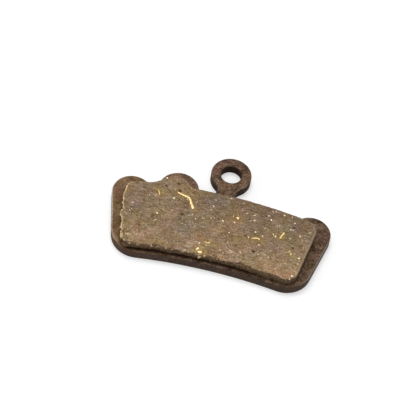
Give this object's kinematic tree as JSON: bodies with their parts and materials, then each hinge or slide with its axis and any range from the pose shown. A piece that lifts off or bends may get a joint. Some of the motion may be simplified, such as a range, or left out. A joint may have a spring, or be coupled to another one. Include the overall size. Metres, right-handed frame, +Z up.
{
  "type": "bicycle disc brake pad",
  "caption": "Disc brake pad for a bicycle caliper: stamped steel backing plate with a retaining eyelet and a locating lobe, and a moulded friction block with brass fibres.",
  "frame": {"origin": "On the retaining eyelet's axis, where it meets the plate's back face.", "axes": "+X runs along the pad, +Y points away from the wheel's axle, +Z is up out of the friction face."},
  "size_m": [0.0406, 0.0255, 0.0035],
  "materials": {
    "coated_steel": "thin brown bonding coat on stamped steel, satin, worn to metal along the edges",
    "friction_compound": "ground resin compound, matt and grainy, flecked with short brass fibres",
    "brass_fibre": "short cut brass wire, bright where the face was ground"
  },
  "bodies": {
    "root": {"backing_plate": "coated_steel", "friction_block": "friction_compound"}
  },
  "joints": []
}
